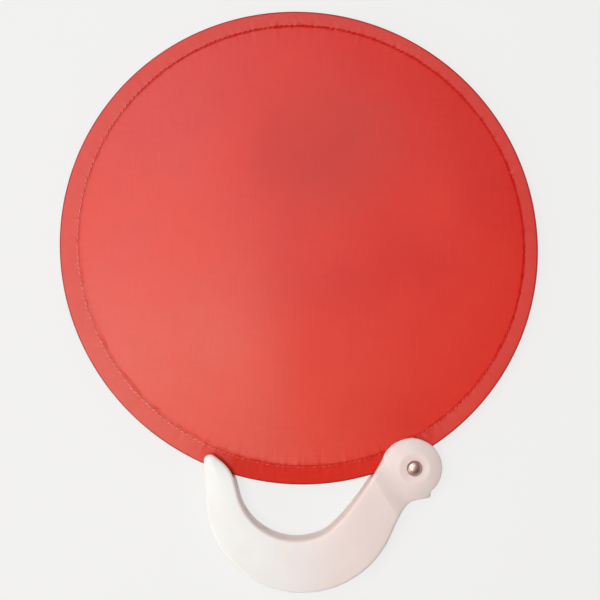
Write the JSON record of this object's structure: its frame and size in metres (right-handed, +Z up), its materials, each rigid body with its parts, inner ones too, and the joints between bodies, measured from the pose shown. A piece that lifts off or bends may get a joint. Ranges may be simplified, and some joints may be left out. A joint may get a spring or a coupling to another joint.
{
  "type": "folding hand fan",
  "caption": "Round cloth hand fan on a spring hoop with a sewn rim, and a white crescent handle that swings on a rivet and clasps the rim.",
  "frame": {"origin": "middle of the fan's footprint, on the surface that the handle's rear face lies on", "axes": "+Z up out of the cloth's front face, +Y from the handle's crescent towards the far rim, +X towards the rivet's side"},
  "size_m": [0.2514, 0.304, 0.014],
  "materials": {
    "panel_cloth": "satin nylon plain weave",
    "binding_tape": "folded nylon tape",
    "sewing_thread": "twisted polyester thread",
    "hoop_steel": "flat spring steel",
    "lug_plastic": "moulded",
    "handle_plastic": "moulded, soft gloss, warm white",
    "rivet_nickel": "nickel plated, polished"
  },
  "bodies": {
    "handle": {"handle_front_shell": "handle_plastic", "handle_rear_shell": "handle_plastic", "rivet_front_cap": "rivet_nickel", "rivet_rear_cap": "rivet_nickel"},
    "fan_disc": {"fan_panel": "panel_cloth", "rim_binding": "binding_tape", "binding_needle_thread": "sewing_thread", "binding_bobbin_thread": "sewing_thread", "spring_hoop": "hoop_steel", "pivot_lug": "lug_plastic"}
  },
  "joints": [
    {"name": "disc_swing", "type": "hinge", "parent": "handle", "child": "fan_disc", "pos_m": [0.06029, -0.08729, 0.007], "axis": [0, 0, -1], "range_deg": [0, 100]}
  ]
}
